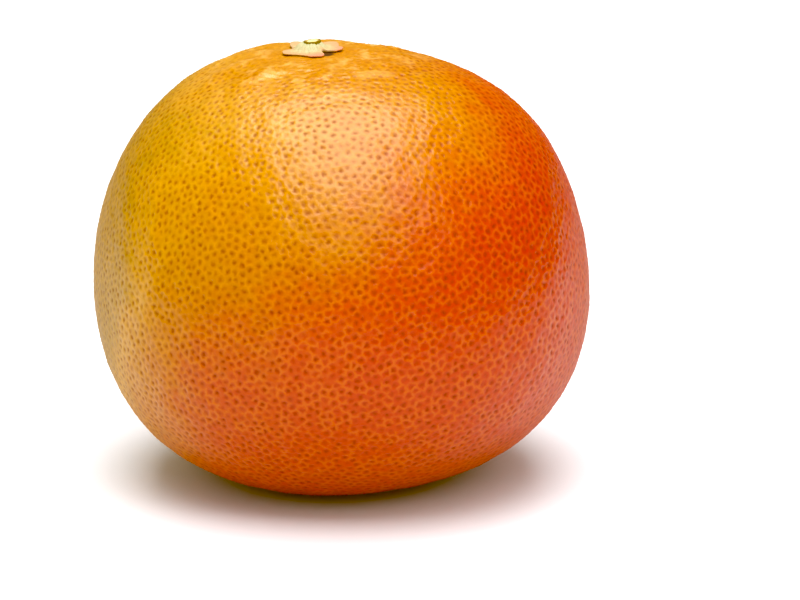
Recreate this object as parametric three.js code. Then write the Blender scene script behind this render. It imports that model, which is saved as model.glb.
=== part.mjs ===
// A whole grapefruit, resting on its small flat spot with the stem end up and leaning a little.
// Millimetres, +Z up. The origin is where the fruit stands, under the middle of its box.
// The photograph's viewer stands on the -Y side, and +X is to the right.

import * as THREE from 'three';
import { mergeVertices } from 'three/addons/utils/BufferGeometryUtils.js';

// The fruit's body: mean radius from its centre at five latitudes, from the blossom end to the stem end
const BASE_RADIUS = 47.8;
const LOWER_RADIUS = 54.8;
const EQUATOR_RADIUS = 55.6;
const UPPER_RADIUS = 54.1;
const CROWN_RADIUS = 50.8;

// How much further out the +X side stands than the middle, at the same five latitudes
const BASE_SKEW = 2.3;
const LOWER_SKEW = 2.8;
const EQUATOR_SKEW = 2;
const UPPER_SKEW = 0.8;
const CROWN_SKEW = -2.5;

// How it lies: the stem end leans towards -X, and the rind is pressed flat on the surface below
const LEAN = THREE.MathUtils.degToRad(5);
const CENTRE_X = -2.24;
const CENTRE_Y = -0.19;
const CENTRE_HEIGHT = 47.3;

// Broad, soft unevenness of the rind: waves along x, y and z in radians a radius, with a phase
const LUMP_HEIGHT = 0.22;
const LUMP_WAVES = [[3.1, 2.7, 1.7, 0.4], [-3.7, 2.9, 4.3, 2], [4.4, -3.5, 2.2, 3.1], [1.6, 5.2, -3.9, 3.3]];

// The stem end: a shallow hollow with soft furrows running out of it
const HOLLOW_DEPTH = 0.5;
const HOLLOW_WIDTH = 0.17;
const FURROW_COUNT = 9;
const FURROW_HEIGHT = 0.28;
const FURROW_REACH = 0.33;
const FURROW_WIDTH = 0.13;
const FURROW_SWAY = 1.5;
const FURROW_SWAY_TURNS = 2;

// Oil-gland pits: rows along each edge of an icosahedron, depth, and how far each strays from its place
const PIT_ROWS = 13;
const PIT_DEPTH = 0.4;
const PIT_STRAY = 0.2;
const PIT_DEPTH_SPREAD = 0.35;
const PIT_FREE_CAP = 0.12;
const PIT_FADE_END = 0.2;
const PRESSED_FADE = 0.6;
const PIT_SEED = 7;
const SAME_POINT = 1e-5;

// The dried calyx: its torn outline in turn, as degrees round from the first tip and distance from the stem.
// The last row is the first one again, a full turn on. The first tip stands a little to -Y of +X.
const CALYX_TURN = -7;
const CALYX_OUTLINE = [
  [0, 7.2], [22, 6.3], [49, 7.2], [89, 4.6], [129, 7], [172, 3.9], [214, 6.7],
  [252, 5.6], [297, 7.7], [320, 3.7], [333, 3.4], [342, 6.4], [360, 7.2],
];
const CALYX_GAP = 0.3;
const CALYX_MARGIN = 0.6;
const CALYX_HUB = 1.2;
const CALYX_HUB_REACH = 4.2;
const CALYX_CURL = 0.35;
const CALYX_BACK_CURL = 0.3;
const CALYX_CURL_START = 4;
const CALYX_CURL_END = 8;
const CALYX_SIDES = 60;
const CALYX_RINGS = 5;

// The cut stem: a bark ring round a slightly sunken wood end
const STUB_RADIUS = 1.9;
const STUB_WOOD_RADIUS = 1.3;
const STUB_HEIGHT = 0.65;
const STUB_WOOD_SINK = 0.2;
const STUB_BEVEL = 0.25;
const STUB_SIDES = 20;

// A random draw between 0 and 1 that gives the same run of numbers every time
function seededDraw(seed) {
  let state = seed;
  return () => {
    state = (state + 0x6D2B79F5) | 0;
    let mixed = Math.imul(state ^ (state >>> 15), 1 | state);
    mixed = (mixed + Math.imul(mixed ^ (mixed >>> 7), 61 | mixed)) ^ mixed;
    return ((mixed ^ (mixed >>> 14)) >>> 0) / 2 ** 32;
  };
}

// The fourth-degree curve in z through five values, at z = -1, -sqrt(1/2), 0, sqrt(1/2) and 1
function throughLatitudes(z, base, lower, equator, upper, crown) {
  const evenEnd = (crown + base) / 2 - equator;
  const evenMiddle = (upper + lower) / 2 - equator;
  const oddEnd = (crown - base) / 2;
  const oddMiddle = (upper - lower) / Math.SQRT2;
  const square = 4 * evenMiddle - evenEnd;
  const fourth = 2 * evenEnd - 4 * evenMiddle;
  const first = 2 * oddMiddle - oddEnd;
  const cube = 2 * oddEnd - 2 * oddMiddle;
  return equator + first * z + square * z ** 2 + cube * z ** 3 + fourth * z ** 4;
}

// Slow waves that cross each other
function lumps(d) {
  const waves = LUMP_WAVES.map(([x, y, z, phase]) => Math.sin(x * d.x + y * d.y + z * d.z + phase));
  return LUMP_HEIGHT * waves.reduce((sum, wave) => sum + wave, 0);
}

// The hollow round the stem and the furrows that leave it, by the angle from the stem axis
function stemEnd(d) {
  const angle = Math.acos(THREE.MathUtils.clamp(d.z, -1, 1));
  const azimuth = Math.atan2(d.y, d.x);
  const hollow = Math.exp(-((angle / HOLLOW_WIDTH) ** 2));
  const reach = Math.exp(-(((angle - FURROW_REACH) / FURROW_WIDTH) ** 2));
  const sway = FURROW_SWAY * Math.sin(FURROW_SWAY_TURNS * azimuth);
  const wave = Math.cos(FURROW_COUNT * azimuth + sway);
  return FURROW_HEIGHT * reach * wave - HOLLOW_DEPTH * hollow;
}

// Distance from the fruit's centre to its smooth skin, along a direction in the fruit's own frame
function skinRadius(d) {
  const mean = throughLatitudes(
    d.z, BASE_RADIUS, LOWER_RADIUS, EQUATOR_RADIUS, UPPER_RADIUS, CROWN_RADIUS);
  const skew = throughLatitudes(
    d.z, BASE_SKEW, LOWER_SKEW, EQUATOR_SKEW, UPPER_SKEW, CROWN_SKEW);
  return mean + d.x * skew + lumps(d) + stemEnd(d);
}

// The fruit's own frame turned so that its stem axis leans towards -X
const leaning = new THREE.Quaternion().setFromAxisAngle(new THREE.Vector3(0, 1, 0), -LEAN);

function pointOutwards(d, radius) {
  return d.clone().applyQuaternion(leaning).multiplyScalar(radius);
}

// A skin point, sunk by its pit's depth, and never lower than the surface that the fruit lies on
function rindPoint(d, pitDepth) {
  const skin = skinRadius(d);
  const down = -pointOutwards(d, 1).z;
  const room = down > 0 ? CENTRE_HEIGHT / down : Infinity;
  const clear = THREE.MathUtils.smoothstep(room - skin, 0, PRESSED_FADE);
  const angle = Math.acos(THREE.MathUtils.clamp(d.z, -1, 1));
  const open = THREE.MathUtils.smoothstep(angle, PIT_FREE_CAP, PIT_FADE_END);
  const point = pointOutwards(d, Math.min(skin - pitDepth * clear * open, room));
  if (skin >= room) point.z = -CENTRE_HEIGHT;
  return point;
}

function closedGeometry(points, triangles) {
  const geometry = new THREE.BufferGeometry().setFromPoints(points);
  geometry.setIndex(triangles.flat());
  geometry.computeVertexNormals();
  return geometry;
}

// Pits stand at the corners of an even grid of triangles round the fruit, and the skin between them at the
// triangles' middles. Each grid edge then gives way to the edge between the two middles beside it, so that
// every pit is a small six-sided hollow.
function fruitGeometry() {
  const grid = new THREE.IcosahedronGeometry(1, PIT_ROWS - 1);
  grid.deleteAttribute('normal');
  grid.deleteAttribute('uv');
  const ball = mergeVertices(grid, SAME_POINT);
  const corners = ball.attributes.position;
  const index = ball.index.array;
  const draw = seededDraw(PIT_SEED);
  const spacing = Math.sqrt(4 * Math.PI / corners.count);

  const pits = [];
  for (let i = 0; i < corners.count; i += 1) {
    const stray = new THREE.Vector3(draw() - 0.5, draw() - 0.5, draw() - 0.5);
    const place = new THREE.Vector3().fromBufferAttribute(corners, i);
    pits.push(place.addScaledVector(stray, 2 * PIT_STRAY * spacing).normalize());
  }
  const points = pits.map((d) => rindPoint(d, PIT_DEPTH * (1 + PIT_DEPTH_SPREAD * (draw() - 0.5))));

  const middleBeside = new Map();
  for (let t = 0; t < index.length; t += 3) {
    const corner = [index[t], index[t + 1], index[t + 2]];
    const middle = new THREE.Vector3();
    corner.forEach((c) => middle.add(pits[c]));
    for (let e = 0; e < 3; e += 1) middleBeside.set(`${corner[e]} ${corner[(e + 1) % 3]}`, points.length);
    points.push(rindPoint(middle.normalize(), 0));
  }

  const triangles = [];
  for (const [edge, middle] of middleBeside) {
    const [from, to] = edge.split(' ').map(Number);
    triangles.push([from, middleBeside.get(`${to} ${from}`), middle]);
  }
  return closedGeometry(points, triangles);
}

// How far the calyx reaches, by degrees round it: an S-shaped blend from each tip or notch to the next
function calyxReach(degrees) {
  const next = CALYX_OUTLINE.findIndex(([azimuth]) => azimuth > degrees);
  const [from, fromReach] = CALYX_OUTLINE[next - 1];
  const [to, toReach] = CALYX_OUTLINE[next];
  return THREE.MathUtils.lerp(fromReach, toReach, THREE.MathUtils.smoothstep(degrees, from, to));
}

// A point over the stem end: how far out from the stem axis, and how high above the skin
function overStemEnd(x, y, height) {
  const d = new THREE.Vector3(x, y, CROWN_RADIUS).normalize();
  return pointOutwards(d, skinRadius(d) + height);
}

// The calyx is thickest at its hub, thins towards its margin, and curls up a little at the lobe tips, most at
// the back and least at the front
function calyxHeights(x, y, outwards) {
  const reach = Math.hypot(x, y);
  const hub = 1 - THREE.MathUtils.smoothstep(reach, STUB_RADIUS, CALYX_HUB_REACH);
  const lobe = THREE.MathUtils.smoothstep(reach, CALYX_CURL_START, CALYX_CURL_END);
  const raised = CALYX_CURL + CALYX_BACK_CURL * Math.sin(Math.atan2(y, x));
  const curl = raised * lobe * outwards ** 3;
  const under = CALYX_GAP + curl;
  return { under, over: under + CALYX_MARGIN + (CALYX_HUB - CALYX_MARGIN) * hub };
}

function calyxGeometry() {
  const points = [];
  const sides = [];
  for (const face of ['under', 'over']) {
    const rings = [];
    for (let ring = 1; ring <= CALYX_RINGS; ring += 1) {
      const outwards = ring / CALYX_RINGS;
      const row = [];
      for (let side = 0; side < CALYX_SIDES; side += 1) {
        const degrees = 360 * side / CALYX_SIDES;
        const azimuth = THREE.MathUtils.degToRad(CALYX_TURN + degrees);
        const x = outwards * calyxReach(degrees) * Math.cos(azimuth);
        const y = outwards * calyxReach(degrees) * Math.sin(azimuth);
        row.push(points.length);
        points.push(overStemEnd(x, y, calyxHeights(x, y, outwards)[face]));
      }
      rings.push(row);
    }
    const middle = points.length;
    points.push(overStemEnd(0, 0, calyxHeights(0, 0, 0)[face]));
    sides.push({ rings, middle });
  }
  const [under, over] = sides;
  const triangles = [];
  const band = (inner, outer) => {
    for (let a = 0; a < CALYX_SIDES; a += 1) {
      const b = (a + 1) % CALYX_SIDES;
      triangles.push([inner[a], outer[a], outer[b]], [inner[a], outer[b], inner[b]]);
    }
  };
  for (let a = 0; a < CALYX_SIDES; a += 1) {
    const b = (a + 1) % CALYX_SIDES;
    triangles.push([over.middle, over.rings[0][a], over.rings[0][b]]);
    triangles.push([under.middle, under.rings[0][b], under.rings[0][a]]);
  }
  for (let ring = 1; ring < CALYX_RINGS; ring += 1) {
    band(over.rings[ring - 1], over.rings[ring]);
    band(under.rings[ring], under.rings[ring - 1]);
  }
  band(over.rings[CALYX_RINGS - 1], under.rings[CALYX_RINGS - 1]);
  return closedGeometry(points, triangles);
}

function stubGeometry() {
  const profile = [
    [0, 0], [STUB_RADIUS, 0], [STUB_RADIUS, STUB_HEIGHT - STUB_BEVEL],
    [STUB_RADIUS - STUB_BEVEL, STUB_HEIGHT], [STUB_WOOD_RADIUS + STUB_BEVEL / 2, STUB_HEIGHT],
    [STUB_WOOD_RADIUS, STUB_HEIGHT - STUB_WOOD_SINK], [0, STUB_HEIGHT - STUB_WOOD_SINK],
  ].map(([radius, height]) => new THREE.Vector2(radius, height));
  const lathe = new THREE.LatheGeometry(profile, STUB_SIDES);
  lathe.rotateX(Math.PI / 2);
  return lathe;
}

function subpart(name, geometry, color, roughness) {
  const material = new THREE.MeshStandardMaterial({ color, roughness, metalness: 0 });
  const mesh = new THREE.Mesh(geometry, material);
  mesh.name = name;
  return mesh;
}

const group = new THREE.Group();
group.position.set(CENTRE_X, CENTRE_Y, CENTRE_HEIGHT);

group.add(subpart('fruit', fruitGeometry(), 0xE8860C, 0.45));
group.add(subpart('calyx', calyxGeometry(), 0xE6CF9A, 0.85));

const stub = subpart('stem_stub', stubGeometry(), 0xC9A35A, 0.9);
stub.position.copy(overStemEnd(0, 0, CALYX_GAP + CALYX_HUB + CALYX_GAP));
stub.quaternion.copy(leaning);
group.add(stub);

export default group;
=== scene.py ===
"""A whole red grapefruit on a pale floor: pitted rind, dried calyx and cut stem.

Sizes are in millimetres until a mesh is made, and the fruit's shape is the one its solid has. A direction
is a unit vector from the fruit's centre in the fruit's own frame, whose +Z is the stem axis.
"""
import math

import bpy
import numpy as np
from mathutils import Matrix, Vector
from mathutils.geometry import delaunay_2d_cdt


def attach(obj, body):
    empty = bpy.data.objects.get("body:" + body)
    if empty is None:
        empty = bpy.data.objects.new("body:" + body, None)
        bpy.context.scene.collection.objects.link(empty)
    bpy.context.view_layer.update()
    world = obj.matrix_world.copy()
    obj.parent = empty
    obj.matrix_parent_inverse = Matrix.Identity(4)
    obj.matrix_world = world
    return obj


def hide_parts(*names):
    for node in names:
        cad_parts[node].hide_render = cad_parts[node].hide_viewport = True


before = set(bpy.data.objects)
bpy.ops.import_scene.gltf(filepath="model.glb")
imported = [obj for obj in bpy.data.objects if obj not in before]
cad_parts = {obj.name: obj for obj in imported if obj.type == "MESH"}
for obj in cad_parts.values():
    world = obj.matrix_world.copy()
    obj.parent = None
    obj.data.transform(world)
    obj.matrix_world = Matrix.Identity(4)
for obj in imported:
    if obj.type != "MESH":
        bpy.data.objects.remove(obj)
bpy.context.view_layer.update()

MM = 0.001

# The fruit's mean radius and how far it bulges to +X, at five latitudes from the blossom end to the stem end
MEAN_RADII = (47.8, 54.8, 55.6, 54.1, 50.8)
SIDE_SKEWS = (2.3, 2.8, 2.0, 0.8, -2.5)
EQUATOR_RADIUS = MEAN_RADII[2]
CROWN_RADIUS = MEAN_RADII[-1]
LEAN = math.radians(5)
CENTRE = np.array([-2.24, -0.19, 47.3])

# Broad unevenness, and the hollow and furrows at the stem end
LUMP_HEIGHT = 0.22
LUMP_WAVES = ((3.1, 2.7, 1.7, 0.4), (-3.7, 2.9, 4.3, 2.0), (4.4, -3.5, 2.2, 3.1), (1.6, 5.2, -3.9, 3.3))
HOLLOW_DEPTH = 0.5
HOLLOW_WIDTH = 0.17
FURROW_COUNT = 9
FURROW_HEIGHT = 0.28
FURROW_REACH = 0.33
FURROW_WIDTH = 0.13
FURROW_SWAY = 1.5
FURROW_SWAY_TURNS = 2

# Oil-gland pits about 2 mm apart, in three levels: the pit, the slope round it and the swelling between pits.
# Fades near the stem are angles from it in radians, and the pressed fade is a height over the floor.
PIT_COUNT = 11000
PIT_STRAY = 0.8
PIT_SETTLING = 2
PIT_DEPTH = (0.04, 0.13)
PIT_SLOPE_SHARE = 0.5
PIT_SWELLING = 0.045
PIT_FREE_CAP = 0.1
PIT_FADE_END = 0.16
PRESSED_FADE = 0.6
PIT_SEED = 11
WHOLE_HULL = 0
NEARLY_NOTHING = 1e-9

# Soft undulations of the rind, a few millimetres long: how many waves, their height and range of lengths, and
# how much higher they are on the crown
UNDULATION_COUNT = 10
UNDULATION_HEIGHT = 0.022
UNDULATION_LENGTH = (4.5, 10.0)
UNDULATION_CROWN = 0.3
UNDULATION_FADE = (0.3, 0.6)

# Fine wrinkles round the stem: waves per radian outwards, waves per turn, and phase
WRINKLE_HEIGHT = 0.035
WRINKLE_WAVES = ((150, 3, 0.3), (171, -5, 1.9), (188, 2, 4.1), (203, 7, 2.6), (139, -8, 5.2))
WRINKLE_FADE = (0.35, 0.65)

# The dried calyx: lobe tips and notches as degrees round from the first tip and distance from the stem
CALYX_TURN = math.radians(-7)
CALYX_OUTLINE = (
    (0, 7.2), (22, 6.3), (49, 7.2), (89, 4.6), (129, 7.0), (172, 3.9),
    (214, 6.7), (252, 5.6), (297, 7.7), (320, 3.7), (333, 3.4), (342, 6.4), (360, 7.2),
)
CALYX_LONGEST = 7.7
CALYX_GAP = 0.12
CALYX_MARGIN = 0.36
CALYX_HUB = 1.75
CALYX_HUB_REACH = 4.4
CALYX_CURL = 0.35
CALYX_BACK_CURL = 0.3
CALYX_CURL_START = 4.0
CALYX_CURL_END = 8.0
CALYX_SIDES = 320
CALYX_RINGS = 30
CALYX_EDGE_STEPS = 6
CALYX_SEED = 5

# Its ragged edge, the bulge along each lobe that is longer than the plain reach, and the wrinkles of its top.
# A run of waves starts at a number per turn and goes up in steps.
RAG_SHARE = 0.022
RAG_WAVES = 6
RAG_FIRST, RAG_STEP = 7, 6
LOBE_BULGE = 0.1
LOBE_PLAIN_REACH = 5.5
LOBE_DIP = 0.05
LOBE_WRINKLE = 0.06
LOBE_WRINKLE_WAVES = 4
LOBE_WRINKLE_FIRST, LOBE_WRINKLE_STEP = 17, 12
LOBE_WRINKLE_SWAY = 2.5

# How dry the calyx looks by distance and by share of the way out, and where its tips are flushed: the side,
# the cosines from it between which the flush sets in, and the shares of the longest reach
DRY_BY_DISTANCE = 0.6
DRY_BY_SHARE = 0.4
FLUSH_SIDE = math.radians(-40)
FLUSH_TURN = (0.1, 0.9)
FLUSH_REACH = (0.65, 1.0)

# The cut stem. Heights are above the skin, and the waves of its ring are a share of the radius or a height,
# waves per turn, and phase.
STUB_RADIUS = 1.9
STUB_WOOD_RADIUS = 1.3
STUB_FLARE = 1.06
STUB_FOOT = 1.5
STUB_FLARE_TOP = 1.7
STUB_TOP = 2.4
STUB_RIM = 0.3
STUB_RIM_TURN = (0.25, math.pi - 0.45)
STUB_RIM_STEPS = 8
STUB_WOOD_SINK = 0.15
STUB_WOOD_CROWN = 0.08
STUB_WOOD_RINGS = (0.95, 0.8, 0.55, 0.3, 0.1)
STUB_WOOD_FADE = 0.2
STUB_SIDES = 96
STUB_SHIFT = 0.5
STUB_RING_WAVES = ((0.03, 3, 0.7), (0.02, 11, 0.0))
STUB_HEIGHT_WAVES = ((0.06, 2, 1.0), (0.03, 7, 0.0))

# The look of an oil gland: a spot in a wider bowl, each fading over a range of distances from the pit, and
# its strength from the faintest gland to the strongest. A noise bends its outline by up to the bend. Spots
# set in over a range of angles from the stem.
SPOT_RADIUS = (0.0, 0.78)
BOWL_RADIUS = (0.1, 1.15)
SPOT_STRENGTH = (0.35, 1.0)
SPOT_FADE = (0.22, 0.5)
SPOT_BEND = 0.55
SPOT_BEND_SIZE = 1.236
SPOT_TINT = "CCA280"
# Painted shade: the bowl tint darkens each gland's dimple, where shade falls in the hollow
BOWL_SHADE_TINT = "F4EEE8"

# The blush grows towards the sunny cheek. Patches change it: an olive shaded shoulder, flushes on the upper
# right, the right cheek, the blossom end and the crown, and a deeper amber right round the stem. The
# blossom-end flush is partly blush and partly painted shade, its redder, darker pigment standing for less
# light underneath.
# Each has its direction from the centre, the cosines between which it sets in, and its change.
CHEEK = (0.56, -0.28, -0.565)
BLUSH_PATCHES = (
    ((-0.947, 0.091, -0.308), (0.42, 1.04), -0.72),
    ((0.76, 0.1, 0.64), (0.76, 0.98), 0.5),
    ((0.66, -0.74, 0.12), (0.78, 1.0), 0.3),
    # Partly painted shade: redder, darker pigment towards the lower front
    ((0.02, -0.6, -0.8), (0.22, 0.72), 0.4),
    ((-0.1, 0.0, 1.0), (0.72, 1.0), 0.5),
    ((-0.04, -0.12, 0.99), (0.965, 0.995), 0.3),
)

# Mottling of the blush, coarse to fine: the size of its blotches, the noise's detail and its share. The
# pigments follow the blush over its range, from olive amber to the deepest red.
BLUSH_MOTTLING = ((32.7, 3.0, 0.5), (6.18, 4.0, 0.46), (2.317, 3.0, 0.22))
GLAND_BLUSH = 0.1
BLUSH_RANGE = (-0.17, 1.83)
PIGMENTS = (
    (0.0, "A07420"), (0.14, "B68028"), (0.28, "AE6C08"), (0.43, "AC5C04"),
    (0.57, "AC4204"), (0.68, "AC2A04"), (0.8, "AA1804"),
)

# Painted sheen: a faint paler net along the ridges half way between glands, broken in places
NET_MARGIN = 1.1
NET_PALING = 0.1
NET_BREAK_SIZE = 2.138
NET_BREAK_EDGE = (0.36, 0.62)
NET_FAINTEST = 0.15
NET_SHEEN_COLOUR = "FFB428"

# Painted sheen: pale streaks in a ring round the stem, between two fades in radians from it
STREAK_START = (0.12, 0.26)
STREAK_END = (0.3, 0.62)
STREAK_SIZE = 5.055
STREAK_EDGE = (0.48, 0.68)
STREAK_PALING = 0.32
STREAK_SHEEN_COLOUR = "F0C070"

# Painted shade on the rind in the notch of the calyx, standing for the shadowed gap under the lobes: its
# place from the stem, its radius and its soft edge
NOTCH_SHADE_PLACE = (3.1, -3.8)
NOTCH_SHADE_RADIUS = 1.6
NOTCH_SHADE_EDGE = 2.8
NOTCH_SHADE_COLOUR = "3C0402"

# The rind's gloss: its roughness from plain wax to the dullest places, which are the glands, the painted
# notch shade and, in part, wherever the rind is seen nearly edge on
RIND_ROUGHNESS = (0.33, 0.68)
RIND_IOR = 1.5
WAX_TINT = (1.0, 0.98, 0.92, 1.0)
GLANCING = (0.5, 0.8)
GLANCING_DULLNESS = 0.6

# Relief drawn as bumps: the sizes of its swellings and grain, and their heights and that of the dimples. The
# skin's real grain is finer than this and wouldn't show, so it is drawn this coarse.
SWELL_SIZE = 2.527
SWELL_HEIGHT = 0.4
DIMPLE_HEIGHT = 0.045
GRAIN_SIZE = 0.741
GRAIN_HEIGHT = 0.2

# The calyx and stub: the colours of their ramps, and the size, share and height of blotches and fibres. Real
# fibres are finer than this and wouldn't show, so they are drawn this coarse.
CALYX_COLOURS = ((0.3, "9C9A68"), (0.5, "AFA97E"), (0.75, "B39F70"), (0.95, "B98F64"))
CALYX_FLUSH = "CC7A60"
CALYX_BLOTCH_SIZE = 2.222
CALYX_BLOTCH_SHARE = 0.5
CALYX_BLOTCH_HEIGHT = 0.25
STUB_COLOURS = ((0.1, "6E5818"), (0.35, "8A7024"), (0.7, "B49A55"), (1.0, "E2C88A"))
FIBRE_SIZE = 1.111
FIBRE_SHARE = 0.4
FIBRE_HEIGHT = 0.2

# A sheet of paper in metres, just under the fruit
PAPER_COLOUR = "EAE9E9"
PAPER_HALF_SIDE = 4.0
PAPER_SINK = 0.0001

# The light, in metres and watts. A large box overhead makes the broad highlight, one at the side lifts the
# right cheek, and a weak one in front lets the highlight fade downwards. All aim low on the fruit.
LIGHT_AIM = (0, 0, 0.05)
SOFTBOXES = (
    ("overhead_softbox", (0.01, -0.24, 2.2), (1.9, 2.9), 101.0),
    ("side_softbox", (1.04, -1.18, 1.23), (0.9, 0.9), 6.0),
    ("front_softbox", (-0.1, -2.0, 1.25), (1.9, 0.9), 9.0),
)

# The white room's strength in general and behind the fruit below the ceiling, and the ranges of the direction
# in which it passes from one to the other
ROOM_STRENGTH = (0.52, 0.25)
ROOM_BACK = (-0.2, 0.5)
ROOM_CEILING = (0.92, 0.6)

# The picture's grade: light taken off each channel, so that white reflections leave the oranges deep
BLACK_LEVEL = (0.0, 0.01, 0.056)

# The camera: a long lens 15 degrees above the horizon, aimed beside the fruit as in the photograph
CAMERA_ELEVATION = math.radians(15)
CAMERA_DISTANCE = 900.0
PIXELS_PER_MM = 4.461
FRUIT_PIXEL = (331.56, 270.0)
PHOTO_SIZE = (800, 600)
SENSOR_WIDTH = 36.0


def linear(hex_colour):
    """sRGB hex, such as E8860C, to linear RGB with alpha."""
    parts = np.array([int(hex_colour[i:i + 2], 16) / 255 for i in (0, 2, 4)])
    low = parts / 12.92
    high = ((parts + 0.055) / 1.055) ** 2.4
    return (*np.where(parts <= 0.04045, low, high), 1.0)


def smoothstep(x, low, high):
    """0 below low, 1 above high, and 3t^2 - 2t^3 between."""
    t = np.clip((x - low) / (high - low), 0, 1)
    return t * t * (3 - 2 * t)


def unit(vectors):
    """Each vector over its length."""
    return vectors / np.linalg.norm(vectors, axis=-1, keepdims=True)


def through_latitudes(z, base, lower, equator, upper, crown):
    """The fourth-degree curve in z through five values, at z = -1, -sqrt(1/2), 0, sqrt(1/2) and 1."""
    even_end = (crown + base) / 2 - equator
    even_middle = (upper + lower) / 2 - equator
    odd_end = (crown - base) / 2
    odd_middle = (upper - lower) / math.sqrt(2)
    square = 4 * even_middle - even_end
    fourth = 2 * even_end - 4 * even_middle
    first = 2 * odd_middle - odd_end
    cube = 2 * odd_end - 2 * odd_middle
    return equator + first * z + square * z ** 2 + cube * z ** 3 + fourth * z ** 4


def skin_radius(d):
    """Mean radius, plus the side skew times x, plus four slow sine waves, plus waves in azimuth inside a
    ring round the stem, less a bell-shaped hollow at the stem."""
    x, y, z = d[..., 0], d[..., 1], d[..., 2]
    angle = np.arccos(np.clip(z, -1, 1))
    azimuth = np.arctan2(y, x)
    body = through_latitudes(z, *MEAN_RADII) + x * through_latitudes(z, *SIDE_SKEWS)
    lumps = sum(np.sin(kx * x + ky * y + kz * z + phase) for kx, ky, kz, phase in LUMP_WAVES)
    hollow = np.exp(-(angle / HOLLOW_WIDTH) ** 2)
    ring = np.exp(-((angle - FURROW_REACH) / FURROW_WIDTH) ** 2)
    wave = np.cos(FURROW_COUNT * azimuth + FURROW_SWAY * np.sin(FURROW_SWAY_TURNS * azimuth))
    return body + LUMP_HEIGHT * lumps + FURROW_HEIGHT * ring * wave - HOLLOW_DEPTH * hollow


def outwards(d, radius):
    """The direction leant with the stem towards -X, times the radius."""
    x, y, z = d[..., 0], d[..., 1], d[..., 2]
    turned = np.stack([x * math.cos(LEAN) - z * math.sin(LEAN), y,
                       x * math.sin(LEAN) + z * math.cos(LEAN)], axis=-1)
    return turned * np.asarray(radius)[..., None]


def over_stem_end(x, y, height):
    """A point at x, y from the stem axis and a height above the skin there."""
    d = unit(np.stack([x, y, np.full_like(x, CROWN_RADIUS)], axis=-1))
    return outwards(d, skin_radius(d) + height)


def mesh_piece(name, points_mm, faces, replaced, attributes):
    """A smooth-shaded object at the origin from points in the fruit's centred frame, riding on the root.
    Each attribute is a domain and its values, one number or one vector for each element."""
    mesh = bpy.data.meshes.new(name)
    faces = np.asarray(faces, dtype=np.int32)
    points = (np.asarray(points_mm) + CENTRE) * MM
    mesh.vertices.add(len(points))
    mesh.vertices.foreach_set("co", points.astype(np.float32).ravel())
    mesh.loops.add(faces.size)
    mesh.loops.foreach_set("vertex_index", faces.ravel())
    mesh.polygons.add(len(faces))
    mesh.polygons.foreach_set("loop_start", np.arange(0, faces.size, faces.shape[1], dtype=np.int32))
    mesh.update(calc_edges=True)
    mesh.validate()
    mesh.polygons.foreach_set("use_smooth", np.ones(len(mesh.polygons), dtype=bool))
    for key, (domain, values) in attributes.items():
        vectors = np.ndim(values) > 1
        layer = mesh.attributes.new(key, "FLOAT_VECTOR" if vectors else "FLOAT", domain)
        flat_values = np.asarray(values, dtype=np.float32).ravel()
        layer.data.foreach_set("vector" if vectors else "value", flat_values)
    piece = bpy.data.objects.new(name, mesh)
    bpy.context.scene.collection.objects.link(piece)
    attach(piece, "root")
    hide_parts(replaced)
    return piece


def round_ball(points):
    """Outward triangles between directions, the last of which points down. Seen from that one, a ball's
    circles are circles in a flat picture, so its flat triangulation serves for all the others, and its rim
    is joined to the last."""
    flat = points[:-1, :2] / (1 + points[:-1, 2:])
    picture = delaunay_2d_cdt(flat.tolist(), [], [], WHOLE_HULL, NEARLY_NOTHING, False)
    triangles = np.array(picture[2])
    starts, ends = triangles.ravel(), np.roll(triangles, -1, axis=1).ravel()
    lone = ~np.isin(starts * len(points) + ends, ends * len(points) + starts)
    rim = np.stack([ends[lone], starts[lone], np.full(lone.sum(), len(points) - 1)], axis=1)
    return np.concatenate([triangles, rim])


def spread_pits(random):
    """Directions along a spiral, turned each time by the golden angle, and pushed aside at random. Twice
    over, each moves to the middle of the triangles round it, weighted by their areas."""
    number = np.arange(PIT_COUNT)
    height = 1 - (2 * number + 1) / PIT_COUNT
    azimuth = number * math.pi * (3 - math.sqrt(5))
    ring = np.sqrt(1 - height ** 2)
    spacing = math.sqrt(4 * math.pi / PIT_COUNT)
    pits = np.stack([ring * np.cos(azimuth), ring * np.sin(azimuth), height], axis=1)
    pits = unit(pits + PIT_STRAY * spacing * (random.random(pits.shape) - 0.5))
    pits[-1] = (0, 0, -1)
    for _ in range(PIT_SETTLING):
        triangles = round_ball(pits)
        a, b, c = pits[triangles].transpose(1, 0, 2)
        pull = (a + b + c) * np.linalg.norm(np.cross(b - a, c - a), axis=1)[:, None]
        corners, pulls = triangles.ravel(), np.repeat(pull, 3, axis=0)
        moved = np.stack([np.bincount(corners, pulls[:, axis], PIT_COUNT) for axis in range(3)], axis=1)
        pits[:-1] = unit(moved[:-1])
    return pits, round_ball(pits)


def split_sides(pits, triangles):
    """Directions of all pits, then of the thirds of every side, nearest its lower pit first, then of the
    triangles' middles. With them come the sides, and the number of each triangle's three."""
    both = np.stack([triangles.ravel(), np.roll(triangles, -1, axis=1).ravel()], axis=1)
    sides, side_of = np.unique(np.sort(both, axis=1), axis=0, return_inverse=True)
    low, high = pits[sides[:, 0]], pits[sides[:, 1]]
    middles = unit(pits[triangles].sum(axis=1))
    directions = np.concatenate([pits, unit(2 * low + high), unit(low + 2 * high), middles])
    return directions, sides, side_of.reshape(triangles.shape)


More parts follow.
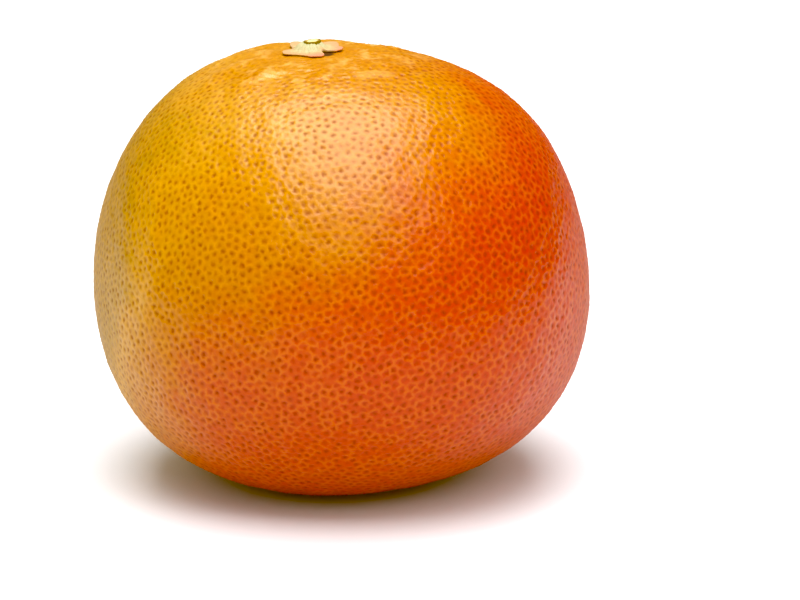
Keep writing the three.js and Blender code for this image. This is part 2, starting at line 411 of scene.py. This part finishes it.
def nine_from_each(triangles, side_of, pit_count, side_count):
    """Nine faces in place of each triangle a, b, c: ab is the third of that side next to a, ba the one next
    to b, and g is the middle."""
    forwards = triangles < np.roll(triangles, -1, axis=1)
    near_start = pit_count + side_of + np.where(forwards, 0, side_count)
    near_end = pit_count + side_of + np.where(forwards, side_count, 0)
    a, b, c = triangles.T
    ab, bc, ca = near_start.T
    ba, cb, ac = near_end.T
    g = pit_count + 2 * side_count + np.arange(len(triangles))
    return np.concatenate([np.stack(corners, axis=1) for corners in (
        (a, ab, ac), (ab, ba, g), (ab, g, ac), (b, bc, ba), (bc, cb, g), (bc, g, ba),
        (c, ca, cb), (ca, ac, g), (ca, g, cb))])


def undulations(directions, random):
    """A sum of sine waves that run in random directions, with lengths between the shortest and longest."""
    length = random.uniform(*UNDULATION_LENGTH, UNDULATION_COUNT)
    headings = unit(random.normal(size=(UNDULATION_COUNT, 3)))
    waves = headings * (2 * math.pi * EQUATOR_RADIUS / length)[:, None]
    phases = random.random(UNDULATION_COUNT) * 2 * math.pi
    return UNDULATION_HEIGHT * np.sin(directions @ waves.T + phases).sum(axis=1)


def build_rind():
    """Pits are spread evenly, and every triangle between them is split into nine. The radius is the skin's,
    less the pit's depth at a corner and a share of it at the nearest third of a side, plus a small swelling
    in the middle, the undulations and, near the stem, a sum of sine waves in the angle from the stem and the
    azimuth. Relief fades out where the rind is pressed flat and under the calyx, and nothing reaches below
    the surface that the fruit lies on. Each face's corners know how far off its three pits are."""
    random = np.random.default_rng(PIT_SEED)
    pits, triangles = spread_pits(random)
    strength = random.random(len(pits))
    directions, sides, side_of = split_sides(pits, triangles)

    depths = PIT_DEPTH[0] + (PIT_DEPTH[1] - PIT_DEPTH[0]) * strength
    relief = -np.concatenate([
        depths,
        PIT_SLOPE_SHARE * depths[sides[:, 0]],
        PIT_SLOPE_SHARE * depths[sides[:, 1]],
        np.full(len(triangles), -PIT_SWELLING),
    ])
    angle = np.arccos(np.clip(directions[:, 2], -1, 1))
    azimuth = np.arctan2(directions[:, 1], directions[:, 0])
    wrinkles = sum(np.sin(out * angle + turns * azimuth + phase) for out, turns, phase in WRINKLE_WAVES)
    relief += WRINKLE_HEIGHT * wrinkles * (1 - smoothstep(angle, *WRINKLE_FADE))
    crown_share = 1 - smoothstep(angle, *UNDULATION_FADE)
    relief += undulations(directions, random) * (1 + UNDULATION_CROWN * crown_share)
    skin = skin_radius(directions)
    down = -outwards(directions, np.ones(len(directions)))[:, 2]
    room = np.where(down > 0, CENTRE[2] / np.maximum(down, NEARLY_NOTHING), np.inf)
    clear = smoothstep(room - skin, 0, PRESSED_FADE)
    relief *= clear * smoothstep(angle, PIT_FREE_CAP, PIT_FADE_END)
    points = outwards(directions, np.minimum(skin + relief, room))

    faces = nine_from_each(triangles, side_of, len(pits), len(sides))
    pits_of_face = np.tile(triangles, (9, 1))
    attributes = {
        "gland_shown": ("POINT", clear * smoothstep(angle, *SPOT_FADE)),
        "crown": ("POINT", smoothstep(angle, *STREAK_START) - smoothstep(angle, *STREAK_END)),
        "gland_strength": ("FACE", strength[pits_of_face]),
    }
    for number in range(3):
        offset = points[faces] - points[pits_of_face[:, number]][:, None]
        attributes["gland_offset_%d" % number] = ("CORNER", offset)
    return mesh_piece("rind", points, faces, "fruit", attributes)


def closed_rings(rows, sides):
    """Triangles over rows of points that each go once round, with a fan at each end to one of the two points
    that follow them, as corner indices."""
    row, side = [part.ravel() for part in np.meshgrid(np.arange(rows - 1), np.arange(sides), indexing="ij")]
    here, beside = row * sides + side, row * sides + (side + 1) % sides
    around = np.arange(sides)
    onwards = (around + 1) % sides
    first_end, last_row = rows * sides, (rows - 1) * sides
    return np.concatenate([
        np.stack([here, here + sides, beside + sides], axis=1),
        np.stack([here, beside + sides, beside], axis=1),
        np.stack([np.full(sides, first_end), around, onwards], axis=1),
        np.stack([np.full(sides, first_end + 1), last_row + onwards, last_row + around], axis=1)])


def calyx_reach(degrees):
    """How far the calyx reaches at an azimuth: an S-shaped blend from each tip or notch to the next."""
    azimuths = np.array([azimuth for azimuth, _ in CALYX_OUTLINE], dtype=float)
    reaches = np.array([reach for _, reach in CALYX_OUTLINE])
    last = np.clip(np.searchsorted(azimuths, degrees, side="right") - 1, 0, len(azimuths) - 2)
    share = smoothstep((degrees - azimuths[last]) / (azimuths[last + 1] - azimuths[last]), 0, 1)
    return reaches[last] + (reaches[last + 1] - reaches[last]) * share


def build_calyx():
    """Rings of points from the middle of the top, out to the margin, round its half-circle edge and back to
    the middle of the underside. The thickness grows in an S-curve towards the hub. Lobe tips curl up with
    the cube of the way out, those at the back more, and lobes bulge along their middles. Sine waves in
    azimuth, each weaker than the last, make the edge ragged, and others that sway along the way out wrinkle
    the top."""
    random = np.random.default_rng(CALYX_SEED)
    degrees = np.arange(CALYX_SIDES) * 360 / CALYX_SIDES
    azimuth = CALYX_TURN + np.radians(degrees)
    phases = random.random((RAG_WAVES, 2)) * 2 * math.pi
    ragged = sum(np.sin((RAG_FIRST + RAG_STEP * i) * azimuth + phase) / (2 + i)
                 for i, (phase, _) in enumerate(phases))
    reach = calyx_reach(degrees) * (1 + RAG_SHARE * ragged)

    top = np.linspace(0, 1, CALYX_RINGS + 1)[1:]
    edge = np.linspace(90, -90, CALYX_EDGE_STEPS + 1)[1:-1]
    share = np.concatenate([top, np.ones(len(edge)), top[::-1]])
    turn = np.radians(np.concatenate([np.full(len(top), 90.0), edge, np.full(len(top), -90.0)]))
    outward = share[:, None]
    distance = outward * reach + CALYX_MARGIN / 2 * np.cos(turn)[:, None]
    x, y = distance * np.cos(azimuth), distance * np.sin(azimuth)

    hub = 1 - smoothstep(distance, STUB_RADIUS, CALYX_HUB_REACH)
    tip = smoothstep(distance, CALYX_CURL_START, CALYX_CURL_END) * outward ** 3
    curl = (CALYX_CURL + CALYX_BACK_CURL * np.sin(azimuth)) * tip
    along = np.sin(math.pi * outward)
    bulge = np.maximum(LOBE_BULGE * (reach - LOBE_PLAIN_REACH) * along, -LOBE_DIP)
    wrinkles = sum(
        np.sin((LOBE_WRINKLE_FIRST + LOBE_WRINKLE_STEP * i) * azimuth
               + LOBE_WRINKLE_SWAY * distance * np.cos(phase) + other) / (1 + i)
        for i, (phase, other) in enumerate(phases[:LOBE_WRINKLE_WAVES]))
    open_part = along * (turn[:, None] > 0)
    thickness = CALYX_MARGIN + (CALYX_HUB - CALYX_MARGIN) * hub
    middle = CALYX_GAP + curl + thickness / 2 + bulge
    height = middle + thickness / 2 * np.sin(turn)[:, None] + LOBE_WRINKLE * wrinkles * open_part
    rings = over_stem_end(x, y, height).reshape(-1, 3)
    ends = over_stem_end(np.zeros(2), np.zeros(2), np.array([CALYX_GAP + CALYX_HUB, CALYX_GAP]))

    far = distance / CALYX_LONGEST
    dryness = DRY_BY_DISTANCE * far + DRY_BY_SHARE * outward ** 2
    sunny = smoothstep(np.cos(azimuth - FLUSH_SIDE), *FLUSH_TURN)
    flush = sunny * smoothstep(far, *FLUSH_REACH)
    return mesh_piece(
        "calyx_star", np.concatenate([rings, ends]), closed_rings(len(share), CALYX_SIDES),
        "calyx", {
            "dryness": ("POINT", np.append(dryness.ravel(), np.zeros(len(ends)))),
            "flush": ("POINT", np.append(flush.ravel(), np.zeros(len(ends))))})


def build_stub():
    """A profile carried round the stem axis: up the bark, over its rounded rim and down to the sunken wood.
    Low sine waves in azimuth make the ring uneven."""
    shoulder = STUB_TOP - STUB_RIM
    bark = [(STUB_RADIUS * STUB_FLARE, STUB_FOOT), (STUB_RADIUS, STUB_FLARE_TOP), (STUB_RADIUS, shoulder)]
    rim_middle, rim_half = (STUB_RADIUS + STUB_WOOD_RADIUS) / 2, (STUB_RADIUS - STUB_WOOD_RADIUS) / 2
    rim = [(rim_middle + rim_half * math.cos(t), shoulder + STUB_RIM * math.sin(t))
           for t in np.linspace(*STUB_RIM_TURN, STUB_RIM_STEPS)]
    wood_top = STUB_TOP - STUB_WOOD_SINK
    wood = [(STUB_WOOD_RADIUS * share, wood_top + STUB_WOOD_CROWN * (1 - share)) for share in STUB_WOOD_RINGS]
    profile = np.array(bark + rim + wood)
    azimuth = np.arange(STUB_SIDES) * 2 * math.pi / STUB_SIDES
    uneven, tilted = [sum(size * np.sin(turns * azimuth + phase) for size, turns, phase in waves)
                      for waves in (STUB_RING_WAVES, STUB_HEIGHT_WAVES)]
    radius = profile[:, :1] * (1 + uneven)
    height = profile[:, 1:] + smoothstep(profile[:, 1:], STUB_FOOT, STUB_TOP) * tilted
    axis_radius = skin_radius(np.array([[0.0, 0.0, 1.0]]))[0]
    rings = np.stack([radius * np.cos(azimuth), radius * np.sin(azimuth), axis_radius + height], axis=-1)
    ends = np.array([[0, 0, axis_radius + STUB_FOOT], [0, 0, axis_radius + wood_top + STUB_WOOD_CROWN]])
    local = np.concatenate([rings.reshape(-1, 3), ends])
    from_axis = np.hypot(local[:, 0], local[:, 1])
    wood_share = 1 - smoothstep(from_axis, STUB_WOOD_RADIUS, STUB_WOOD_RADIUS + STUB_WOOD_FADE)
    local += (STUB_SHIFT, 0, 0)
    points = outwards(unit(local), np.linalg.norm(local, axis=1))
    faces = closed_rings(len(profile), STUB_SIDES)[:, [0, 2, 1]]
    return mesh_piece("cut_stub", points, faces, "stem_stub", {"wood": ("POINT", wood_share)})


def add_node(tree, kind, settings=None, inputs=None):
    """A new node with its settings, and its inputs set to values or linked to other nodes' outputs."""
    node = tree.nodes.new(kind)
    for key, value in (settings or {}).items():
        setattr(node, key, value)
    for key, value in (inputs or {}).items():
        if isinstance(value, bpy.types.NodeSocket):
            tree.links.new(value, node.inputs[key])
        else:
            node.inputs[key].default_value = value
    return node


def new_material(name):
    """A material with an empty node tree."""
    material = bpy.data.materials.new(name)
    material.use_nodes = True
    material.node_tree.nodes.clear()
    return material, material.node_tree


def finish_material(tree, inputs):
    """A shader with its inputs, as the surface."""
    shader = add_node(tree, "ShaderNodeBsdfPrincipled", inputs=inputs)
    add_node(tree, "ShaderNodeOutputMaterial", inputs={"Surface": shader.outputs["BSDF"]})


def set_ramp(node, stops):
    """A ramp through colour stops, each a place and a hex colour."""
    elements = node.color_ramp.elements
    while len(elements) > 1:
        elements.remove(elements[-1])
    elements[0].position, elements[0].color = stops[0][0], linear(stops[0][1])
    for place, colour in stops[1:]:
        element = elements.new(place)
        element.color = linear(colour)


def gland_pattern(tree, centred):
    """How much of a spot and of a bowl each place is, as strong as its gland, and how much further off its
    second gland is than its nearest. The offsets of a face's three glands are bent by a noise, and a spot
    and a bowl fade out with distance in S-curves."""
    strengths = add_node(tree, "ShaderNodeAttribute", {"attribute_name": "gland_strength"}).outputs["Vector"]
    strength_of = add_node(tree, "ShaderNodeSeparateXYZ", None, {"Vector": strengths}).outputs
    stray = add_node(tree, "ShaderNodeTexNoise", None, {
        "Vector": centred, "Scale": EQUATOR_RADIUS / SPOT_BEND_SIZE,
        "Detail": 2.0, "Roughness": 0.6}).outputs["Color"]
    bend = add_node(tree, "ShaderNodeVectorMath", {"operation": "MULTIPLY_ADD"}, {
        0: stray, 1: (2 * SPOT_BEND,) * 3, 2: (-SPOT_BEND,) * 3}).outputs["Vector"]
    spots, bowls = 0.0, 0.0
    distances = []
    for number in range(3):
        offset = add_node(tree, "ShaderNodeAttribute", {
            "attribute_name": "gland_offset_%d" % number}).outputs["Vector"]
        bent = add_node(tree, "ShaderNodeVectorMath", {"operation": "ADD"}, {
            0: offset, 1: bend}).outputs["Vector"]
        distance = add_node(tree, "ShaderNodeVectorMath", {"operation": "LENGTH"}, {0: bent}).outputs["Value"]
        distances.append(distance)
        depth = add_node(tree, "ShaderNodeMapRange", None, {
            "Value": strength_of[number],
            "To Min": SPOT_STRENGTH[0], "To Max": SPOT_STRENGTH[1]}).outputs["Result"]
        spot, bowl = [add_node(tree, "ShaderNodeMapRange", {"interpolation_type": "SMOOTHSTEP"}, {
            "Value": distance, "From Min": radius[1], "From Max": radius[0]}).outputs["Result"]
            for radius in (SPOT_RADIUS, BOWL_RADIUS)]
        spots, bowls = [add_node(tree, "ShaderNodeMath", {"operation": "MULTIPLY_ADD"}, {
            0: part, 1: depth, 2: others}).outputs["Value"]
            for part, others in ((spot, spots), (bowl, bowls))]
    lesser, greater = [add_node(tree, "ShaderNodeMath", {"operation": operation}, {
        0: distances[0], 1: distances[1]}).outputs["Value"] for operation in ("MINIMUM", "MAXIMUM")]
    nearest, rest = [add_node(tree, "ShaderNodeMath", {"operation": "MINIMUM"}, {
        0: distances[2], 1: other}).outputs["Value"] for other in (lesser, greater)]
    second = add_node(tree, "ShaderNodeMath", {"operation": "MAXIMUM"}, {
        0: lesser, 1: rest}).outputs["Value"]
    margin = add_node(tree, "ShaderNodeMath", {"operation": "SUBTRACT"}, {
        0: second, 1: nearest}).outputs["Value"]
    return spots, bowls, margin


def blush_pigment(tree, centred, gland):
    """The pigment by ripeness: how far the place is towards the sunny cheek, plus every patch's change, the
    mottling and a little in each gland."""
    ripeness = add_node(tree, "ShaderNodeVectorMath", {"operation": "DOT_PRODUCT"}, {
        0: centred, 1: Vector(CHEEK)}).outputs["Value"]
    for direction, (start, full), change in BLUSH_PATCHES:
        towards = add_node(tree, "ShaderNodeVectorMath", {"operation": "DOT_PRODUCT"}, {
            0: centred, 1: Vector(direction)}).outputs["Value"]
        shift = add_node(tree, "ShaderNodeMapRange", {"interpolation_type": "SMOOTHSTEP"}, {
            "Value": towards, "From Min": start, "From Max": full,
            "To Min": 0.0, "To Max": change}).outputs["Result"]
        ripeness = add_node(tree, "ShaderNodeMath", {"operation": "ADD"}, {
            0: ripeness, 1: shift}).outputs["Value"]
    for size, detail, share in BLUSH_MOTTLING:
        mottle = add_node(tree, "ShaderNodeTexNoise", None, {
            "Vector": centred, "Scale": EQUATOR_RADIUS / size,
            "Detail": detail, "Roughness": 0.6}).outputs["Fac"]
        ripeness = add_node(tree, "ShaderNodeMath", {"operation": "MULTIPLY_ADD"}, {
            0: mottle, 1: share, 2: ripeness}).outputs["Value"]
    reddened = add_node(tree, "ShaderNodeMath", {"operation": "MULTIPLY_ADD"}, {
        0: gland, 1: GLAND_BLUSH, 2: ripeness}).outputs["Value"]
    blush = add_node(tree, "ShaderNodeMapRange", {"clamp": True}, {
        "Value": reddened, "From Min": BLUSH_RANGE[0], "From Max": BLUSH_RANGE[1]}).outputs["Result"]
    pigment = add_node(tree, "ShaderNodeValToRGB", None, {"Fac": blush})
    set_ramp(pigment, PIGMENTS)
    return pigment.outputs["Color"]


def ridge_sheen_net(tree, centred, margin):
    """How much of the painted sheen net each place is: the less the margin between its two nearest glands,
    the more, and fainter where a noise breaks it."""
    ridge = add_node(tree, "ShaderNodeMapRange", {"interpolation_type": "SMOOTHSTEP"}, {
        "Value": margin, "From Min": NET_MARGIN, "From Max": 0.0, "To Max": NET_PALING}).outputs["Result"]
    breaks = add_node(tree, "ShaderNodeTexNoise", None, {
        "Vector": centred, "Scale": EQUATOR_RADIUS / NET_BREAK_SIZE,
        "Detail": 1.0, "Roughness": 0.5}).outputs["Fac"]
    unbroken = add_node(tree, "ShaderNodeMapRange", {"interpolation_type": "SMOOTHSTEP"}, {
        "Value": breaks, "From Min": NET_BREAK_EDGE[0], "From Max": NET_BREAK_EDGE[1],
        "To Min": NET_FAINTEST, "To Max": 1.0}).outputs["Result"]
    return add_node(tree, "ShaderNodeMath", {"operation": "MULTIPLY"}, {
        0: ridge, 1: unbroken}).outputs["Value"]


def crown_sheen_streaks(tree, centred):
    """How much of a pale painted sheen streak each place is: a twisted noise's upper part, in the ring
    round the stem.
    """
    crown = add_node(tree, "ShaderNodeAttribute", {"attribute_name": "crown"}).outputs["Fac"]
    blotch = add_node(tree, "ShaderNodeTexNoise", None, {
        "Vector": centred, "Scale": EQUATOR_RADIUS / STREAK_SIZE,
        "Detail": 3.0, "Roughness": 0.55, "Distortion": 0.8}).outputs["Fac"]
    streak = add_node(tree, "ShaderNodeMapRange", {"interpolation_type": "SMOOTHSTEP"}, {
        "Value": blotch, "From Min": STREAK_EDGE[0], "From Max": STREAK_EDGE[1],
        "To Max": STREAK_PALING}).outputs["Result"]
    return add_node(tree, "ShaderNodeMath", {"operation": "MULTIPLY"}, {
        0: streak, 1: crown}).outputs["Value"]


def notch_shade(tree, centred):
    """How much of the painted notch shade each place is: all within its radius, none beyond its edge, an
    S-curve between.
    """
    notch_shade_place = over_stem_end(*np.array(NOTCH_SHADE_PLACE), 0.0) / EQUATOR_RADIUS
    from_notch_shade = add_node(tree, "ShaderNodeVectorMath", {"operation": "DISTANCE"}, {
        0: centred, 1: Vector(notch_shade_place)}).outputs["Value"]
    return add_node(tree, "ShaderNodeMapRange", {"interpolation_type": "SMOOTHSTEP"}, {
        "Value": from_notch_shade, "From Min": NOTCH_SHADE_EDGE / EQUATOR_RADIUS,
        "From Max": NOTCH_SHADE_RADIUS / EQUATOR_RADIUS}).outputs["Result"]


def rind_roughness(tree, gland, notch_shade_amount):
    """Roughest in the glands and the painted notch shade. At a glancing view the wax is duller too, in an
    S-curve of the facing, so that the fruit's edge doesn't shine white."""
    dull = add_node(tree, "ShaderNodeMath", {"operation": "MAXIMUM"}, {0: gland, 1: notch_shade_amount}).outputs["Value"]
    facing = add_node(tree, "ShaderNodeLayerWeight", None, {"Blend": 0.5}).outputs["Facing"]
    edge = add_node(tree, "ShaderNodeMapRange", {"interpolation_type": "SMOOTHSTEP"}, {
        "Value": facing, "From Min": GLANCING[0], "From Max": GLANCING[1],
        "To Max": GLANCING_DULLNESS}).outputs["Result"]
    duller = add_node(tree, "ShaderNodeMath", {"operation": "MAXIMUM"}, {0: dull, 1: edge}).outputs["Value"]
    return add_node(tree, "ShaderNodeMapRange", None, {
        "Value": duller, "To Min": RIND_ROUGHNESS[0], "To Max": RIND_ROUGHNESS[1]}).outputs["Result"]


def rind_bump(tree, centred, bowls):
    """Soft swellings, then a dimple in each bowl, then the skin's grain."""
    swell = add_node(tree, "ShaderNodeTexNoise", None, {
        "Vector": centred, "Scale": EQUATOR_RADIUS / SWELL_SIZE,
        "Detail": 1.0, "Roughness": 0.4}).outputs["Fac"]
    swollen = add_node(tree, "ShaderNodeBump", None, {
        "Height": swell, "Strength": 0.5, "Distance": SWELL_HEIGHT * MM}).outputs["Normal"]
    dimpled = add_node(tree, "ShaderNodeBump", {"invert": True}, {
        "Height": bowls, "Strength": 1.0, "Distance": DIMPLE_HEIGHT * MM,
        "Normal": swollen}).outputs["Normal"]
    grain = add_node(tree, "ShaderNodeTexNoise", None, {
        "Vector": centred, "Scale": EQUATOR_RADIUS / GRAIN_SIZE,
        "Detail": 2.0, "Roughness": 0.5}).outputs["Fac"]
    return add_node(tree, "ShaderNodeBump", None, {
        "Height": grain, "Strength": 0.4, "Distance": GRAIN_HEIGHT * MM,
        "Normal": dimpled}).outputs["Normal"]


def rind_material():
    """Waxy citrus rind, pigmented in the skin: amber round the stem and on the shaded side, blushing to a
    deep red-orange on the sunny lower cheek, with darker and redder oil glands about 2 mm apart and a soft
    sheen. Painted sheen pales the ridges between glands and a ring round the stem, and painted shade darkens
    the glands' dimples, the notch of the calyx and, in part, the lower front. Patterns are placed from the
    fruit's centre, with its mean radius as the unit."""
    material, tree = new_material("waxy_grapefruit_rind")
    place = add_node(tree, "ShaderNodeTexCoord").outputs["Object"]
    centred = add_node(tree, "ShaderNodeMapping", {"vector_type": "POINT"}, {
        "Vector": place,
        "Location": Vector(-CENTRE / EQUATOR_RADIUS),
        "Scale": (1 / (EQUATOR_RADIUS * MM),) * 3}).outputs["Vector"]
    spots, bowls, margin = gland_pattern(tree, centred)
    shown = add_node(tree, "ShaderNodeAttribute", {"attribute_name": "gland_shown"}).outputs["Fac"]
    gland = add_node(tree, "ShaderNodeMath", {"operation": "MULTIPLY"}, {0: spots, 1: shown}).outputs["Value"]
    colour = blush_pigment(tree, centred, gland)
    # The bowl tint is painted shade in each gland's dimple; the spot tint is the gland's own darker colour
    for amount, tint in ((bowls, BOWL_SHADE_TINT), (gland, SPOT_TINT)):
        colour = add_node(tree, "ShaderNodeMix", {"data_type": "RGBA", "blend_type": "MULTIPLY"}, {
            "Factor": amount, 6: colour, 7: linear(tint)}).outputs[2]
    # Over the pigment: painted sheen on the ridge net and the crown streaks, and painted shade in the calyx
    # notch
    notch_shade_amount = notch_shade(tree, centred)
    for amount, over in ((ridge_sheen_net(tree, centred, margin), NET_SHEEN_COLOUR),
                         (crown_sheen_streaks(tree, centred), STREAK_SHEEN_COLOUR), (notch_shade_amount, NOTCH_SHADE_COLOUR)):
        colour = add_node(tree, "ShaderNodeMix", {"data_type": "RGBA"}, {
            "Factor": amount, 6: colour, 7: linear(over)}).outputs[2]
    finish_material(tree, {
        "Base Color": colour,
        "Roughness": rind_roughness(tree, gland, notch_shade_amount),
        "IOR": RIND_IOR,
        "Specular Tint": WAX_TINT,
        "Normal": rind_bump(tree, centred, bowls),
    })
    return material


def calyx_material():
    """Dried leathery sepal, matt: pale green-cream round the stem, tan outwards, and reddened tips."""
    material, tree = new_material("dried_calyx")
    place = add_node(tree, "ShaderNodeTexCoord").outputs["Object"]
    dryness = add_node(tree, "ShaderNodeAttribute", {"attribute_name": "dryness"}).outputs["Fac"]
    blotch = add_node(tree, "ShaderNodeTexNoise", None, {
        "Vector": place, "Scale": 1 / (CALYX_BLOTCH_SIZE * MM),
        "Detail": 3.0, "Roughness": 0.6}).outputs["Fac"]
    swayed = add_node(tree, "ShaderNodeMath", {"operation": "MULTIPLY_ADD"}, {
        0: blotch, 1: CALYX_BLOTCH_SHARE, 2: dryness}).outputs["Value"]
    ramp = add_node(tree, "ShaderNodeValToRGB", None, {"Fac": swayed})
    set_ramp(ramp, CALYX_COLOURS)
    flush = add_node(tree, "ShaderNodeAttribute", {"attribute_name": "flush"}).outputs["Fac"]
    flushed = add_node(tree, "ShaderNodeMix", {"data_type": "RGBA"}, {
        "Factor": flush, 6: ramp.outputs["Color"], 7: linear(CALYX_FLUSH)}).outputs[2]
    bump = add_node(tree, "ShaderNodeBump", None, {
        "Height": blotch, "Strength": 0.6, "Distance": CALYX_BLOTCH_HEIGHT * MM}).outputs["Normal"]
    finish_material(tree, {
        "Base Color": flushed, "Roughness": 0.7, "Normal": bump})
    return material


def stub_material():
    """Cut stem: olive-brown bark round pale dry wood, both matt and fibrous."""
    material, tree = new_material("cut_stem")
    place = add_node(tree, "ShaderNodeTexCoord").outputs["Object"]
    wood = add_node(tree, "ShaderNodeAttribute", {"attribute_name": "wood"}).outputs["Fac"]
    fibre = add_node(tree, "ShaderNodeTexNoise", None, {
        "Vector": place, "Scale": 1 / (FIBRE_SIZE * MM),
        "Detail": 3.0, "Roughness": 0.6}).outputs["Fac"]
    swayed = add_node(tree, "ShaderNodeMath", {"operation": "MULTIPLY_ADD"}, {
        0: fibre, 1: FIBRE_SHARE, 2: wood}).outputs["Value"]
    ramp = add_node(tree, "ShaderNodeValToRGB", None, {"Fac": swayed})
    set_ramp(ramp, STUB_COLOURS)
    bump = add_node(tree, "ShaderNodeBump", None, {
        "Height": fibre, "Strength": 0.6, "Distance": FIBRE_HEIGHT * MM}).outputs["Normal"]
    finish_material(tree, {
        "Base Color": ramp.outputs["Color"], "Roughness": 0.85, "Normal": bump})
    return material


def paper_material():
    """Matt white paper, which shows the fruit's shadow softly."""
    material, tree = new_material("white_paper")
    finish_material(tree, {"Base Color": linear(PAPER_COLOUR), "Roughness": 0.9})
    return material


def build_floor():
    """A square sheet, with no thickness."""
    half = PAPER_HALF_SIDE
    corners = [(-half, -half, 0), (half, -half, 0), (half, half, 0), (-half, half, 0)]
    mesh = bpy.data.meshes.new("floor")
    mesh.from_pydata(corners, [], [(0, 1, 2, 3)])
    mesh.transform(Matrix.Translation((0, 0, -PAPER_SINK)))
    floor = bpy.data.objects.new("floor", mesh)
    bpy.context.scene.collection.objects.link(floor)
    floor.data.materials.append(paper_material())


def build_room():
    """A white room whose strength follows the direction: less by the product of two S-curves, one towards
    the back and one down from the ceiling, so that the fruit's edge reflects less of it."""
    world = bpy.data.worlds.new("white_room")
    world.use_nodes = True
    tree = world.node_tree
    direction = add_node(tree, "ShaderNodeTexCoord").outputs["Generated"]
    part = add_node(tree, "ShaderNodeSeparateXYZ", None, {"Vector": direction}).outputs
    behind, low = [add_node(tree, "ShaderNodeMapRange", {"interpolation_type": "SMOOTHSTEP"}, {
        "Value": part[axis], "From Min": start, "From Max": end}).outputs["Result"]
        for axis, (start, end) in (("Y", ROOM_BACK), ("Z", ROOM_CEILING))]
    dark = add_node(tree, "ShaderNodeMath", {"operation": "MULTIPLY"}, {0: behind, 1: low}).outputs["Value"]
    strength = add_node(tree, "ShaderNodeMapRange", None, {
        "Value": dark, "To Min": ROOM_STRENGTH[0], "To Max": ROOM_STRENGTH[1]}).outputs["Result"]
    background = tree.nodes["Background"]
    tree.links.new(strength, background.inputs["Strength"])
    background.inputs["Color"].default_value = (1, 1, 1, 1)
    bpy.context.scene.world = world


def build_light():
    """Rectangular area lights in their places, turned to face the aim."""
    for name, place, size, power in SOFTBOXES:
        light = bpy.data.lights.new(name, "AREA")
        light.shape = "RECTANGLE"
        light.size, light.size_y = size
        light.energy = power
        lamp = bpy.data.objects.new(name, light)
        lamp.location = place
        lamp.rotation_euler = (Vector(LIGHT_AIM) - Vector(place)).to_track_quat("-Z", "Y").to_euler()
        bpy.context.scene.collection.objects.link(lamp)


def build_camera():
    """Level in azimuth, tilted down, and slid sideways so that the fruit's centre falls on its pixel."""
    up = np.array([0, math.sin(CAMERA_ELEVATION), math.cos(CAMERA_ELEVATION)])
    back = np.array([0, -math.cos(CAMERA_ELEVATION), math.sin(CAMERA_ELEVATION)])
    right = np.array([1.0, 0, 0])
    across = (PHOTO_SIZE[0] / 2 - FRUIT_PIXEL[0]) / PIXELS_PER_MM
    below = (PHOTO_SIZE[1] / 2 - FRUIT_PIXEL[1]) / PIXELS_PER_MM
    place = CENTRE + back * CAMERA_DISTANCE + right * across - up * below
    camera = bpy.data.objects.new("camera", bpy.data.cameras.new("camera"))
    camera.data.sensor_width = SENSOR_WIDTH
    camera.data.lens = SENSOR_WIDTH * CAMERA_DISTANCE * PIXELS_PER_MM / PHOTO_SIZE[0]
    camera.location = Vector(place * MM)
    camera.rotation_euler = (math.pi / 2 - CAMERA_ELEVATION, 0, 0)
    bpy.context.scene.collection.objects.link(camera)
    bpy.context.scene.camera = camera


def grade_picture():
    """Plain display colours, less the black level."""
    grade = bpy.context.scene.view_settings
    grade.view_transform = "Standard"
    grade.use_curve_mapping = True
    grade.curve_mapping.black_level = BLACK_LEVEL
    grade.curve_mapping.update()


grade_picture()
build_camera()
build_room()
build_light()
build_floor()
build_rind().data.materials.append(rind_material())
build_calyx().data.materials.append(calyx_material())
build_stub().data.materials.append(stub_material())

bpy.context.view_layer.update()
